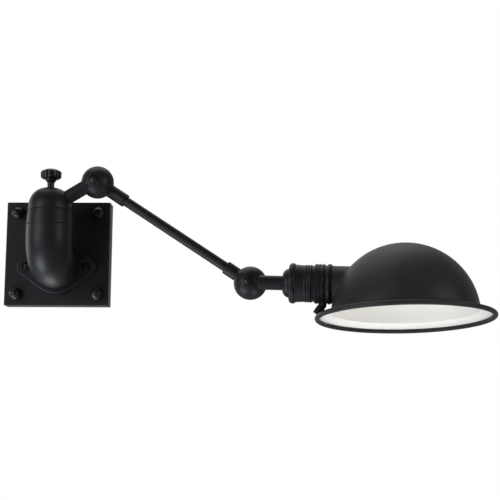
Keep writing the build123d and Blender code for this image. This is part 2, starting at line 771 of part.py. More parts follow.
def make_shade_collar():
    """The rolled collar brazed round the shade's neck."""
    low = shade_collar_start
    high = low + shade_collar_length
    inner = neck_r + seat_fit
    edge = shade_collar_r - shade_collar_crown
    outline = Polyline((inner, low), (edge, low))
    outline += ThreePointArc((edge, low), (shade_collar_r, (low + high) / 2), (edge, high))
    outline += Polyline((edge, high), (inner, high), (inner, low))
    return shade_frame * along_x * turned(outline)


# ---- every piece, by name

pieces = {
    "canopy": make_canopy(),
    "mounting_plate": make_mounting_plate(),
    "mounting_studs": make_mounting_studs(),
    "canopy_nuts": make_canopy_nuts(),
    "elbow": make_elbow(),
    "flange_screws": make_flange_screws(),
    "flange_nuts": make_flange_nuts(),
    "bearing_collar": make_bearing_collar(),
    "pivot_post": make_pivot_post(),
    "post_nut": make_post_nut(),
    "swivel_cap": make_swivel_cap(),
    "cap_grub_screw": make_cap_grub(),
    "stop_pin": make_stop_pin(),
    "upper_knuckle_front": make_front_half(
        knuckle_1_frame * half_turn, short_stub_in_cap, nipple_at_end=False),
    "upper_knuckle_rear": make_rear_half(long_arm_frame, long_stub_1_length),
    "long_tube": make_long_tube(),
    "tube_jam_rings": make_jam_rings(),
    "lower_knuckle_rear": make_rear_half(knuckle_2_frame * half_turn, long_stub_2_length),
    "lower_knuckle_front": make_front_half(
        knuckle_2_frame * Rot(0, knuckle_2_bend, 0), socket_stub_length, nipple_at_end=True),
    "socket_nipple": make_socket_nipple(),
    "socket_cap": make_socket_cap(),
    "socket_shell": make_socket_shell(),
    "insulating_liner": make_insulating_liner(),
    "lamp_body": make_lamp_body(),
    "screw_shell": make_screw_shell(),
    "centre_contact": make_centre_contact(),
    "body_screws": make_body_screws(),
    "shade_holder": make_shade_holder(),
    "shade": make_shade(),
    "shade_collar": make_shade_collar(),
    "thumb_screw": make_thumb_screw(),
    "shade_screw": make_shade_screw(),
}
for place, frame in (("upper", long_arm_frame), ("lower", knuckle_2_frame)):
    pieces[place + "_pivot_screw"] = make_knuckle_screw(frame)
    pieces[place + "_friction_washer"] = make_friction_washer(frame)
    pieces[place + "_spring_washer"] = make_spring_washer(frame)
    pieces[place + "_pivot_nut"] = make_knuckle_nut(frame)

os.makedirs("parts", exist_ok=True)
for name, shape in pieces.items():
    export_step(shape, "parts/" + name + ".step")
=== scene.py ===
"""An articulating wall lamp: a finish for every piece, a spun shade, a domed cap and a small studio."""

import json
from math import pi, radians

import bmesh
import bpy
from bpy.props import FloatProperty, FloatVectorProperty, IntProperty, PointerProperty
from mathutils import Matrix, Vector


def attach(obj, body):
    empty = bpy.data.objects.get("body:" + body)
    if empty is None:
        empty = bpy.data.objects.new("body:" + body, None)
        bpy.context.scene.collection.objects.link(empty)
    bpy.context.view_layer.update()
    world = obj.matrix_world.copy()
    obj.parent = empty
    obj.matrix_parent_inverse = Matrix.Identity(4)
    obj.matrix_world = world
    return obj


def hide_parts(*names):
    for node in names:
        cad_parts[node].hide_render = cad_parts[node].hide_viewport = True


bl_info = {
    "name": "Articulating Wall Lamp",
    "version": (1, 0, 0),
    "blender": (4, 5, 0),
    "location": "3D View > Sidebar > Wall Lamp",
    "description": "Finishes an articulating wall lamp and sets it in a small studio",
    "category": "Add Mesh",
}

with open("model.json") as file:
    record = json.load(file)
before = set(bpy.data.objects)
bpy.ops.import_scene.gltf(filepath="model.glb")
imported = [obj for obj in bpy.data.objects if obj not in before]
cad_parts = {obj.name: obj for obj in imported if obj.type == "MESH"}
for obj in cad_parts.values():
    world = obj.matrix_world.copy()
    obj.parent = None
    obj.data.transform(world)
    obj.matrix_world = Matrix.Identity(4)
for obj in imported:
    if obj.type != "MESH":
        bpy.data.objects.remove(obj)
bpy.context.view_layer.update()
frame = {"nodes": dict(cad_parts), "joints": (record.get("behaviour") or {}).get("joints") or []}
joints = {joint["name"]: joint for joint in frame["joints"]}
MM = 0.001

# Flats round what isn't as round as the ring segments ask for.
DOME_RINGS, BORE_SIDES, NECK_SIDES, FLOOR_SIDES, WIRE_SIDES = 64, 64, 96, 96, 16
# Faces that meet at less than this are shaded as one surface.
SMOOTH_ANGLE = radians(40)
# How near a point has to be to a place to count as on it.
NEAR = 0.05 * MM
# The brim's way from the dome to the rim, as shares of its reach and of its drop.
LIP_STEPS = ((0.1, 0.25), (0.3, 0.5), (1.0, 1.0))
# How deep each finish's relief is, in metres.
FINE_GRAIN, PEEL, CAST_PEEL, FIBRE_RELIEF, GLAZE_RELIEF = 0.00001, 0.00002, 0.00003, 0.00005, 0.00008
LACQUERED_RINGS, BARE_RINGS = 0.00002, 0.00003
# How much lighter than the black coat its dust and its rubbed edges are, and how strongly each shows.
DUST_LIFT, RUB_LIFT, DUST_SHARE, RUB_SHARE = 4.0, 5.0, 0.25, 0.16

FLOOR_CENTRE = (0.2, 0)
LAMP_MIDDLE = (0.15, -0.08, 0.0)
WHITE = (1, 1, 1)
ALL_ROUND = 180
# Each lamp's name, place, the point it faces, width in metres, watts, colour and spread in degrees.
LAMPS = (
    ("front_panel", (-1.75, -1.75, 0.3), (0.1, -0.06, 0), 1.5, 40, (0.96, 0.97, 1.0), ALL_ROUND),
    ("low_window", (-0.38, -0.22, -0.6), (0.0, -0.06, -0.03), 0.42, 0.85, (0.82, 0.89, 1.0), 55),
    ("low_back", (-0.06, 0.14, -0.34), (-0.01, -0.06, -0.03), 0.2, 0.05, WHITE, 40),
    ("mouth_light", (0.5, -0.2, -0.65), (0.35, -0.1, -0.08), 0.2, 0.12, WHITE, 34),
    ("left_panel", (-1.3, 0.5, 0.1), LAMP_MIDDLE, 0.7, 3, WHITE, ALL_ROUND),
    ("right_panel", (1.6, -0.9, 0.3), LAMP_MIDDLE, 0.8, 10, WHITE, ALL_ROUND),
    ("top_left", (-0.3, 0.1, 1.3), LAMP_MIDDLE, 0.8, 4, WHITE, ALL_ROUND),
    ("top_panel", (0.35, 0.5, 1.4), LAMP_MIDDLE, 1.0, 4.5, WHITE, ALL_ROUND),
)


# ---- places on the lamp, from its joints

def frame_along(axis, up_hint):
    """A turn whose X is the axis and whose Z is as near as it can be to the hint."""
    along = Vector(axis).normalized()
    side = Vector(up_hint).cross(along).normalized()
    up = along.cross(side)
    return Matrix((along, side, up)).transposed().to_4x4()


SOCKET_AXIS = Vector(joints["shade_turn"]["axis"]).normalized()
SOCKET_POINT = Vector(joints["shade_turn"]["pos_m"])
SOCKET_TURN = frame_along(SOCKET_AXIS, (0, 0, 1))
UPPER_KNUCKLE = Vector(joints["upper_knuckle"]["pos_m"])
LOWER_KNUCKLE = Vector(joints["lower_knuckle"]["pos_m"])
SWIVEL_POINT = Vector(joints["swivel"]["pos_m"])
ARM_TURN = frame_along(LOWER_KNUCKLE - UPPER_KNUCKLE, (0, 0, 1))


# ---- what a user may change

class ShadeSizes(bpy.types.PropertyGroup):
    """Sizes of the spun shade."""
    dome_radius: FloatProperty(
        name="Dome Radius", description="Outside radius of the dome", default=0.0746, unit="LENGTH")
    wall: FloatProperty(
        name="Wall", description="Thickness of the spun sheet", default=0.001, unit="LENGTH")
    base_rise: FloatProperty(
        name="Brim Start", description="Height above the dome's centre where the brim starts",
        default=0.0058, unit="LENGTH")
    rim_radius: FloatProperty(
        name="Rim Radius", description="Radius of the rolled rim's centre line",
        default=0.0884, unit="LENGTH")
    rim_drop: FloatProperty(
        name="Rim Drop", description="Depth of the rolled rim below the dome's centre",
        default=0.0008, unit="LENGTH")
    roll_radius: FloatProperty(
        name="Roll Radius", description="Radius of the rolled rim's wire", default=0.0025, unit="LENGTH")
    lip_above: FloatProperty(
        name="Lip Above", description="Height above the rim's centre line where the sheet meets it",
        default=0.0023, unit="LENGTH")
    neck_radius: FloatProperty(
        name="Neck Radius", description="Outside radius of the side neck", default=0.0188, unit="LENGTH")
    neck_start: FloatProperty(
        name="Neck Start", description="Neck's open end, from the shade's turning point along the socket",
        default=0.00605, unit="LENGTH")
    centre_ahead: FloatProperty(
        name="Centre Ahead", description="Dome's centre, from the shade's turning point along the socket",
        default=0.0922, unit="LENGTH")
    centre_drop: FloatProperty(
        name="Centre Drop", description="Dome's centre below the socket's axis",
        default=0.0313, unit="LENGTH")
    weld_radius: FloatProperty(
        name="Weld Radius", description="Fillet where the neck meets the dome", default=0.0016, unit="LENGTH")
    roll: FloatProperty(
        name="Roll", description="Turn of the shade about the socket's axis",
        default=radians(4.0), subtype="ANGLE")
    cant: FloatProperty(
        name="Cant", description="Tilt of the dome on its neck", default=radians(3.2), subtype="ANGLE")


class CapSizes(bpy.types.PropertyGroup):
    """Sizes of the swivel's domed cap."""
    height: FloatProperty(
        name="Height", description="Height of the dome above its seam", default=0.0249, unit="LENGTH")
    fullness: FloatProperty(
        name="Fullness", description="Power of the dome's curve: 2 is an ellipse, more is squarer",
        default=2.5)
    seam: FloatProperty(
        name="Seam", description="Bevel at the seam under the dome", default=0.0003, unit="LENGTH")
    bore_gap: FloatProperty(
        name="Bore Gap", description="Gap round the post and the thumb screw",
        default=0.0001, unit="LENGTH")


class FinishColours(bpy.types.PropertyGroup):
    """Colours and gloss of the lamp's finishes."""
    coat: FloatVectorProperty(
        name="Black Coat", description="Satin black of the castings and the canopy",
        default=(0.0072, 0.007, 0.0082), subtype="COLOR", size=3, min=0, max=1)
    coat_roughness: FloatProperty(
        name="Coat Roughness", description="Roughness of the black coat", default=0.42, subtype="FACTOR")
    coat_shine: FloatProperty(
        name="Coat Shine", description="Specular level of the black coat", default=0.16, subtype="FACTOR")
    shade_coat: FloatVectorProperty(
        name="Shade Outside", description="Black enamel outside the shade",
        default=(0.017, 0.0166, 0.0182), subtype="COLOR", size=3, min=0, max=1)
    enamel: FloatVectorProperty(
        name="Shade Inside", description="White enamel inside the shade",
        default=(0.88, 0.865, 0.825), subtype="COLOR", size=3, min=0, max=1)
    hardware: FloatVectorProperty(
        name="Blackened Screws", description="Oil-blackened steel of the screws that show",
        default=(0.0065, 0.0062, 0.0066), subtype="COLOR", size=3, min=0, max=1)
    zinc: FloatVectorProperty(
        name="Zinc Plate", description="Bright zinc of the hidden hardware",
        default=(0.62, 0.63, 0.62), subtype="COLOR", size=3, min=0, max=1)
    brass: FloatVectorProperty(
        name="Brass", description="Brass of the live parts",
        default=(0.76, 0.56, 0.26), subtype="COLOR", size=3, min=0, max=1)
    fibre: FloatVectorProperty(
        name="Vulcanised Fibre", description="Red-brown fibre of the washers and the liner",
        default=(0.2, 0.075, 0.045), subtype="COLOR", size=3, min=0, max=1)
    porcelain: FloatVectorProperty(
        name="Porcelain", description="Glazed porcelain of the bulb's base",
        default=(0.84, 0.82, 0.77), subtype="COLOR", size=3, min=0, max=1)


class StudioSettings(bpy.types.PropertyGroup):
    """The camera, the floor and the lights."""
    camera_place: FloatVectorProperty(
        name="Camera Place", description="Where the camera stands",
        default=(0.25444, -1.25672, -0.1862), subtype="XYZ", unit="LENGTH", size=3)
    camera_pitch: FloatProperty(
        name="Camera Pitch", description="How far the camera looks up",
        default=radians(8.75), subtype="ANGLE")
    camera_yaw: FloatProperty(
        name="Camera Yaw", description="How far the camera turns to its left",
        default=radians(2.0), subtype="ANGLE")
    camera_roll: FloatProperty(
        name="Camera Roll", description="How far the camera leans", default=radians(0.44), subtype="ANGLE")
    lens: FloatProperty(
        name="Lens", description="Focal length on a 36 mm sensor, in millimetres", default=82.8)
    floor_height: FloatProperty(
        name="Floor Height", description="Height of the floor below the lamp", default=-0.75, unit="LENGTH")
    floor_radius: FloatProperty(
        name="Floor Radius", description="Radius of the floor", default=4.0, unit="LENGTH")
    floor_colour: FloatVectorProperty(
        name="Floor Colour", description="Pale grey-white of the floor",
        default=(0.8, 0.8, 0.8), subtype="COLOR", size=3, min=0, max=1)
    floor_lift: FloatProperty(
        name="Floor Lift", description="Light that the camera alone sees the floor give", default=0.55)
    ambient: FloatProperty(
        name="Ambient", description="Light that comes evenly from all round", default=0.12)
    front_shade: FloatProperty(
        name="Front Shade", description="What gloss shows of the studio's dim side", default=0.08)
    back_left: FloatProperty(
        name="Back Left", description="What gloss shows of the bright back, on the left", default=1.1)
    back_right: FloatProperty(
        name="Back Right", description="What gloss shows of the bright back, on the right", default=0.32)
    ring_segments: IntProperty(
        name="Ring Segments", description="Flats round a turned piece", default=128)


# ---- node helpers

def feed(tree, node, inputs):
    """Links each named input to the socket given, or sets it to the value given."""
    for name, value in inputs.items():
        socket = node.inputs[name]
        if isinstance(value, bpy.types.NodeSocket):
            tree.links.new(value, socket)
        else:
            socket.default_value = value


def add_node(tree, kind, inputs=None, **settings):
    """A node with its settings, and with each named input set or linked."""
    node = tree.nodes.new(kind)
    for name, value in settings.items():
        setattr(node, name, value)
    feed(tree, node, inputs or {})
    return node


def math_node(tree, operation, first, second=0.0, third=0.0):
    """A math node's output."""
    return add_node(
        tree, "ShaderNodeMath", {0: first, 1: second, 2: third}, operation=operation).outputs[0]


def mix_colour(tree, factor, first, second):
    """The output of a colour mix."""
    node = add_node(
        tree, "ShaderNodeMix", {"Factor": factor, "A": first, "B": second}, data_type="RGBA")
    return node.outputs["Result"]


def spread(tree, value, low, high):
    """A value from 0 to 1, stretched to a range."""
    return add_node(
        tree, "ShaderNodeMapRange", {"Value": value, "To Min": low, "To Max": high}).outputs["Result"]


def new_group(name, inputs, outputs):
    """An empty shader group with its sockets; gives the tree and its inner input and output nodes."""
    tree = bpy.data.node_groups.new(name, "ShaderNodeTree")
    for socket_name, kind, value in inputs:
        socket = tree.interface.new_socket(socket_name, in_out="INPUT", socket_type=kind)
        if value is not None:
            socket.default_value = value
    for socket_name, kind in outputs:
        tree.interface.new_socket(socket_name, in_out="OUTPUT", socket_type=kind)
    return tree, tree.nodes.new("NodeGroupInput"), tree.nodes.new("NodeGroupOutput")


def use_group(tree, name, inputs):
    """A group's node placed in a material, with its own values."""
    node = tree.nodes.new("ShaderNodeGroup")
    node.node_tree = bpy.data.node_groups[name]
    feed(tree, node, inputs)
    return node


# ---- shared effects

def make_lacquer_group():
    """Sprayed lacquer: an orange-peel skin, a slow drift of tone and gloss, and fine dust."""
    tree, given, result = new_group(
        "Sprayed lacquer",
        (("Vector", "NodeSocketVector", None), ("Colour", "NodeSocketColor", (0.01, 0.01, 0.01, 1)),
         ("Dust Colour", "NodeSocketColor", (0.05, 0.05, 0.05, 1)), ("Dust", "NodeSocketFloat", 0.1),
         ("Roughness", "NodeSocketFloat", 0.4), ("Peel Scale", "NodeSocketFloat", 900.0)),
        (("Colour", "NodeSocketColor"), ("Roughness", "NodeSocketFloat"), ("Height", "NodeSocketFloat")))
    vector = given.outputs["Vector"]
    peel = add_node(tree, "ShaderNodeTexNoise", {
        "Vector": vector, "Scale": given.outputs["Peel Scale"], "Detail": 2.0, "Roughness": 0.45})
    drift = add_node(tree, "ShaderNodeTexNoise", {"Vector": vector, "Scale": 28.0, "Detail": 3.0})
    speck = add_node(tree, "ShaderNodeTexNoise", {"Vector": vector, "Scale": 1500.0, "Detail": 1.0})
    speck_mask = add_node(tree, "ShaderNodeMapRange", {
        "Value": speck.outputs["Fac"], "From Min": 0.62, "From Max": 0.78})
    drift_mask = add_node(tree, "ShaderNodeMapRange", {
        "Value": drift.outputs["Fac"], "From Min": 0.35, "From Max": 0.7})
    dusty = math_node(tree, "MULTIPLY", speck_mask.outputs["Result"], given.outputs["Dust"])
    haze = math_node(tree, "MULTIPLY", drift_mask.outputs["Result"], given.outputs["Dust"])
    amount = math_node(tree, "ADD", dusty, math_node(tree, "MULTIPLY", haze, 0.6))
    colour = mix_colour(tree, amount, given.outputs["Colour"], given.outputs["Dust Colour"])
    change = spread(tree, drift.outputs["Fac"], -0.05, 0.05)
    roughness = math_node(tree, "ADD", given.outputs["Roughness"], change)
    feed(tree, result, {"Colour": colour, "Roughness": roughness, "Height": peel.outputs["Fac"]})


def make_ring_group():
    """The fine rings that a lathe or a spinning tool leaves, along the X of the vector given."""
    tree, given, result = new_group(
        "Lathe rings",
        (("Vector", "NodeSocketVector", None), ("Rings Per Metre", "NodeSocketFloat", 1200.0),
         ("Unevenness", "NodeSocketFloat", 0.5)),
        (("Height", "NodeSocketFloat"), ("Mask", "NodeSocketFloat")))
    split = add_node(tree, "ShaderNodeSeparateXYZ", {"Vector": given.outputs["Vector"]})
    place = math_node(tree, "MULTIPLY", split.outputs["X"], given.outputs["Rings Per Metre"])
    line = add_node(tree, "ShaderNodeCombineXYZ", {"X": place})
    fine = add_node(tree, "ShaderNodeTexNoise", {
        "Vector": line.outputs["Vector"], "Scale": 1.0, "Detail": 2.0})
    wander = add_node(tree, "ShaderNodeTexNoise", {"Vector": given.outputs["Vector"], "Scale": 60.0})
    faded = math_node(tree, "MULTIPLY", fine.outputs["Fac"], wander.outputs["Fac"])
    height = add_node(tree, "ShaderNodeMix", {
        "Factor": given.outputs["Unevenness"], "A": fine.outputs["Fac"], "B": faded}, data_type="FLOAT")
    mask = add_node(tree, "ShaderNodeMapRange", {
        "Value": fine.outputs["Fac"], "From Min": 0.45, "From Max": 0.75})
    feed(tree, result, {"Height": height.outputs["Result"], "Mask": mask.outputs["Result"]})


def make_edge_group():
    """A mask of the outer edges, broken up, where hands and tools rub a finish."""
    tree, given, result = new_group(
        "Rubbed edges",
        (("Vector", "NodeSocketVector", None), ("Width", "NodeSocketFloat", 0.0006)),
        (("Mask", "NodeSocketFloat"),))
    rounded = add_node(tree, "ShaderNodeBevel", {"Radius": given.outputs["Width"]}, samples=4)
    geometry = tree.nodes.new("ShaderNodeNewGeometry")
    agree = add_node(tree, "ShaderNodeVectorMath", {
        0: rounded.outputs["Normal"], 1: geometry.outputs["Normal"]}, operation="DOT_PRODUCT")
    edge = add_node(tree, "ShaderNodeMapRange", {
        "Value": agree.outputs["Value"], "From Min": 0.985, "From Max": 0.86})
    broken = add_node(tree, "ShaderNodeTexNoise", {
        "Vector": given.outputs["Vector"], "Scale": 220.0, "Detail": 3.0})
    patches = add_node(tree, "ShaderNodeMapRange", {
        "Value": broken.outputs["Fac"], "From Min": 0.42, "From Max": 0.62})
    mask = math_node(tree, "MULTIPLY", edge.outputs["Result"], patches.outputs["Result"])
    feed(tree, result, {"Mask": mask})


def make_tarnish_group():
    """Bare metal with a drift of tarnish and small stains."""
    tree, given, result = new_group(
        "Tarnished metal",
        (("Vector", "NodeSocketVector", None), ("Clean", "NodeSocketColor", (0.6, 0.6, 0.6, 1)),
         ("Dull", "NodeSocketColor", (0.3, 0.3, 0.3, 1)), ("Roughness", "NodeSocketFloat", 0.3),
         ("Patch Scale", "NodeSocketFloat", 90.0)),
        (("Colour", "NodeSocketColor"), ("Roughness", "NodeSocketFloat"), ("Height", "NodeSocketFloat")))
    patches = add_node(tree, "ShaderNodeTexNoise", {
        "Vector": given.outputs["Vector"], "Scale": given.outputs["Patch Scale"], "Detail": 5.0})
    mask = add_node(tree, "ShaderNodeMapRange", {
        "Value": patches.outputs["Fac"], "From Min": 0.38, "From Max": 0.68})
    grain = add_node(tree, "ShaderNodeTexNoise", {
        "Vector": given.outputs["Vector"], "Scale": 2500.0, "Detail": 1.0})
    colour = mix_colour(tree, mask.outputs["Result"], given.outputs["Clean"], given.outputs["Dull"])
    rougher = math_node(tree, "MULTIPLY", mask.outputs["Result"], 0.2)
    roughness = math_node(tree, "ADD", given.outputs["Roughness"], rougher)
    feed(tree, result, {"Colour": colour, "Roughness": roughness, "Height": grain.outputs["Fac"]})


# ---- materials

def start_material(name, turn=None):
    """A new material with its Principled shader, and a vector in the lamp's or the piece's directions."""
    material = bpy.data.materials.new(name)
    material.use_nodes = True
    tree = material.node_tree
    shader = tree.nodes["Principled BSDF"]
    place = tree.nodes.new("ShaderNodeTexCoord").outputs["Object"]
    if turn is not None:
        place = add_node(tree, "ShaderNodeMapping", {
            "Vector": place, "Rotation": turn.to_3x3().inverted().to_euler()}).outputs["Vector"]
    return material, tree, shader, place


def rgba(colour, factor=1.0):
    """A colour with its alpha, darker or lighter by a factor."""
    return (*(min(1, channel * factor) for channel in colour), 1)


def add_bump(tree, shader, heights):
    """Chains bumps of (height, depth in metres) into the shader's normal."""
    normal = None
    for height, depth in heights:
        inputs = {"Height": height, "Distance": depth, "Strength": 1.0}
        if normal:
            inputs["Normal"] = normal
        normal = add_node(tree, "ShaderNodeBump", inputs).outputs["Normal"]
    feed(tree, shader, {"Normal": normal})


def black_coat(name, colour, roughness, shine, peel_scale=900.0, peel_depth=PEEL, turn=None, rings=None):
    """Satin black lacquer, with lathe rings under it where the piece was turned."""
    material, tree, shader, place = start_material(name, turn)
    coat = use_group(tree, "Sprayed lacquer", {
        "Vector": place, "Colour": rgba(colour), "Dust Colour": rgba(colour, DUST_LIFT),
        "Dust": DUST_SHARE, "Roughness": roughness, "Peel Scale": peel_scale})
    rubbed = use_group(tree, "Rubbed edges", {"Vector": place})
    worn = math_node(tree, "MULTIPLY", rubbed.outputs["Mask"], RUB_SHARE)
    feed(tree, shader, {
        "Base Color": mix_colour(tree, worn, coat.outputs["Colour"], rgba(colour, RUB_LIFT)),
        "Roughness": coat.outputs["Roughness"], "Specular IOR Level": shine})
    heights = [(coat.outputs["Height"], peel_depth)]
    if rings:
        lathe = use_group(tree, "Lathe rings", {"Vector": place, "Rings Per Metre": rings})
        heights.append((lathe.outputs["Height"], LACQUERED_RINGS))
    add_bump(tree, shader, heights)
    return material


def white_enamel(colours):
    """White enamel inside the shade, with a soft orange peel."""
    material, tree, shader, place = start_material("white_enamel")
    coat = use_group(tree, "Sprayed lacquer", {
        "Vector": place, "Colour": rgba(colours.enamel), "Dust Colour": rgba(colours.enamel, 0.86),
        "Dust": 0.3, "Roughness": 0.34, "Peel Scale": 500.0})
    feed(tree, shader, {"Base Color": coat.outputs["Colour"], "Roughness": coat.outputs["Roughness"]})
    add_bump(tree, shader, [(coat.outputs["Height"], PEEL)])
    return material


def bare_metal(name, clean, dull, roughness, patch_scale, turn=None, rings=None):
    """Bare or plated metal with tarnish, and lathe rings where it was turned."""
    material, tree, shader, place = start_material(name, turn)
    metal = use_group(tree, "Tarnished metal", {
        "Vector": place, "Clean": rgba(clean), "Dull": rgba(dull), "Roughness": roughness,
        "Patch Scale": patch_scale})
    feed(tree, shader, {
        "Base Color": metal.outputs["Colour"], "Roughness": metal.outputs["Roughness"], "Metallic": 1.0})
    heights = [(metal.outputs["Height"], FINE_GRAIN)]
    if rings:
        lathe = use_group(tree, "Lathe rings", {"Vector": place, "Rings Per Metre": rings})
        heights.append((lathe.outputs["Height"], BARE_RINGS))
    add_bump(tree, shader, heights)
    return material


def vulcanised_fibre(colours):
    """Pressed fibre: matt, with flecks."""
    material, tree, shader, place = start_material("vulcanised_fibre")
    fleck = add_node(tree, "ShaderNodeTexNoise", {"Vector": place, "Scale": 700.0, "Detail": 6.0})
    dark, light = rgba(colours.fibre, 0.7), rgba(colours.fibre, 1.4)
    feed(tree, shader, {
        "Base Color": mix_colour(tree, fleck.outputs["Fac"], dark, light),
        "Roughness": spread(tree, fleck.outputs["Fac"], 0.65, 0.85)})
    add_bump(tree, shader, [(fleck.outputs["Fac"], FIBRE_RELIEF)])
    return material


def glazed_porcelain(colours):
    """Porcelain with a soft glaze and a few iron specks."""
    material, tree, shader, place = start_material("glazed_porcelain")
    pool = add_node(tree, "ShaderNodeTexNoise", {"Vector": place, "Scale": 120.0, "Detail": 2.0})
    speck = add_node(tree, "ShaderNodeTexVoronoi", {"Vector": place, "Scale": 260.0})
    spot = add_node(tree, "ShaderNodeMapRange", {
        "Value": speck.outputs["Distance"], "From Min": 0.09, "From Max": 0.04})
    iron = (0.25, 0.18, 0.12, 1)
    feed(tree, shader, {
        "Base Color": mix_colour(tree, spot.outputs["Result"], rgba(colours.porcelain), iron),
        "Roughness": spread(tree, pool.outputs["Fac"], 0.1, 0.24)})
    add_bump(tree, shader, [(pool.outputs["Fac"], GLAZE_RELIEF)])
    return material


def dress(material, *nodes):
    """Gives CAD pieces a material in place of their plain one."""
    for name in nodes:
        mesh = frame["nodes"][name].data
        mesh.materials.clear()
        mesh.materials.append(material)


# ---- modelling helpers

def deselect():
    """Leaves nothing selected."""
    if bpy.context.object and bpy.context.object.mode != "OBJECT":
        bpy.ops.object.mode_set(mode="OBJECT")
    bpy.ops.object.select_all(action="DESELECT")


def pick(piece):
    """Selects one piece and makes it active."""
    deselect()
    piece.select_set(True)
    bpy.context.view_layer.objects.active = piece


def edit_select(piece, kind, test):
    """In edit mode, selects the vertices, edges or faces that pass a test."""
    pick(piece)
    bpy.ops.object.mode_set(mode="EDIT")
    bpy.ops.mesh.select_mode(type=kind)
    bpy.ops.mesh.select_all(action="DESELECT")
    shape = bmesh.from_edit_mesh(piece.data)
    items = {"VERT": shape.verts, "EDGE": shape.edges, "FACE": shape.faces}[kind]
    for item in items:
        if test(item):
            item.select_set(True)
    shape.select_flush_mode()
    bmesh.update_edit_mesh(piece.data)


def apply_all(piece):
    """Applies a piece's modifiers in order."""
    pick(piece)
    for modifier in list(piece.modifiers):
        bpy.ops.object.modifier_apply(modifier=modifier.name)


def combine(piece, tool, operation):
    """Joins a tool to a piece, or cuts it away, and removes the tool."""
    step = piece.modifiers.new(tool.name, "BOOLEAN")
    step.operation, step.object, step.solver = operation, tool, "EXACT"
    apply_all(piece)
    bpy.data.objects.remove(tool)


def settle(piece, place):
    """Moves a piece's mesh to its place on the lamp and leaves its object at the origin."""
    pick(piece)
    bpy.ops.object.transform_apply(location=True, rotation=True, scale=True)
    piece.data.transform(place)
    piece.data.update()


def finish_piece(piece, name, body, slot_name, *stands_for):
    """Names a piece, has it ride on its body and hides the CAD pieces it stands for."""
    piece.name = piece.data.name = name
    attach(piece, body)
    if stands_for:
        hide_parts(*stands_for)


# ---- operators: the pieces

class LAMP_OT_shared_effects(bpy.types.Operator):
    """Build the shader groups that the finishes share"""
    bl_idname = "lamp.shared_effects"
    bl_label = "Shared Effects"

    def execute(self, context):
        make_lacquer_group()
        make_ring_group()
        make_edge_group()
        make_tarnish_group()
        return {"FINISHED"}


class LAMP_OT_castings(bpy.types.Operator):
    """Finish the elbow, its collar and the knuckles, and mix their coat"""
    bl_idname = "lamp.castings"
    bl_label = "Castings"

    def execute(self, context):
        colours = context.scene.lamp_colours
        coat = black_coat(
            "cast_black", colours.coat, colours.coat_roughness, colours.coat_shine, peel_depth=CAST_PEEL)
        dress(coat, "elbow", "bearing_collar", "upper_knuckle_front",
              "upper_knuckle_rear", "lower_knuckle_front", "lower_knuckle_rear")
        return {"FINISHED"}


class LAMP_OT_swivel_cap(bpy.types.Operator):
    """Model the swivel's domed cap, full at its shoulders"""
    bl_idname = "lamp.swivel_cap"
    bl_label = "Swivel Cap"

    def execute(self, context):
        sizes = context.scene.lamp_cap
        corners = [vert.co for vert in frame["nodes"]["swivel_cap"].data.vertices]
        seam_height, cad_top = min(corner.z for corner in corners), max(corner.z for corner in corners)
        radius = max(corner.x for corner in corners) - SWIVEL_POINT.x
        power = sizes.fullness
        deselect()
        bpy.ops.mesh.primitive_uv_sphere_add(
            segments=context.scene.lamp_studio.ring_segments, ring_count=DOME_RINGS, radius=1)
        cap = bpy.context.object
        for vert in cap.data.vertices:
            across = (vert.co.x ** 2 + vert.co.y ** 2) ** 0.5
            vert.co /= (across ** power + abs(vert.co.z) ** power) ** (1 / power)
        bpy.ops.object.mode_set(mode="EDIT")
        bpy.ops.mesh.bisect(plane_co=(0, 0, 0), plane_no=(0, 0, 1), use_fill=True, clear_inner=True)
        bpy.ops.object.mode_set(mode="OBJECT")
        cap.scale = (radius, radius, sizes.height)
        settle(cap, Matrix.Translation((SWIVEL_POINT.x, SWIVEL_POINT.y, seam_height)))
        edit_select(cap, "EDGE", lambda edge: all(
            abs(vert.co.z - seam_height) < NEAR for vert in edge.verts))
        bpy.ops.mesh.bevel(offset=sizes.seam, segments=2, affect="EDGES")
        bpy.ops.object.mode_set(mode="OBJECT")
        apex = seam_height + sizes.height
        for name in ("pivot_post", "thumb_screw"):
            inside = [vert.co for vert in frame["nodes"][name].data.vertices
                      if seam_height < vert.co.z < cad_top]
            widest = max((point.x ** 2 + (point.y - SWIVEL_POINT.y) ** 2) ** 0.5 for point in inside)
            if name == "pivot_post":
                low, high = seam_height - sizes.height, max(point.z for point in inside)
            else:
                low, high = min(point.z for point in inside), apex + sizes.height
            deselect()
            bpy.ops.mesh.primitive_cylinder_add(
                vertices=BORE_SIDES, radius=sizes.bore_gap + widest, depth=high - low + 2 * sizes.bore_gap,
                location=(SWIVEL_POINT.x, SWIVEL_POINT.y, (high + low) / 2))
            combine(cap, bpy.context.object, "DIFFERENCE")
        pick(cap)
        bpy.ops.object.shade_smooth_by_angle(angle=SMOOTH_ANGLE)
        cap.data.materials.append(bpy.data.materials["cast_black"])
        finish_piece(cap, "domed_cap", "swivel", "satin_black", "swivel_cap")
        return {"FINISHED"}


class LAMP_OT_canopy(bpy.types.Operator):
    """Finish the pressed canopy"""
    bl_idname = "lamp.canopy"
    bl_label = "Canopy"

    def execute(self, context):
        colours = context.scene.lamp_colours
        dress(black_coat("pressed_black", colours.coat, colours.coat_roughness + 0.04,
                         colours.coat_shine, peel_scale=650.0), "canopy")
        return {"FINISHED"}


class LAMP_OT_arm_tube(bpy.types.Operator):
    """Finish the drawn tube and its jam rings"""
    bl_idname = "lamp.arm_tube"
    bl_label = "Arm Tube"

    def execute(self, context):
        colours = context.scene.lamp_colours
        dress(black_coat("drawn_black", colours.coat, colours.coat_roughness, colours.coat_shine,
                         turn=ARM_TURN, rings=500.0), "long_tube", "tube_jam_rings")
        return {"FINISHED"}


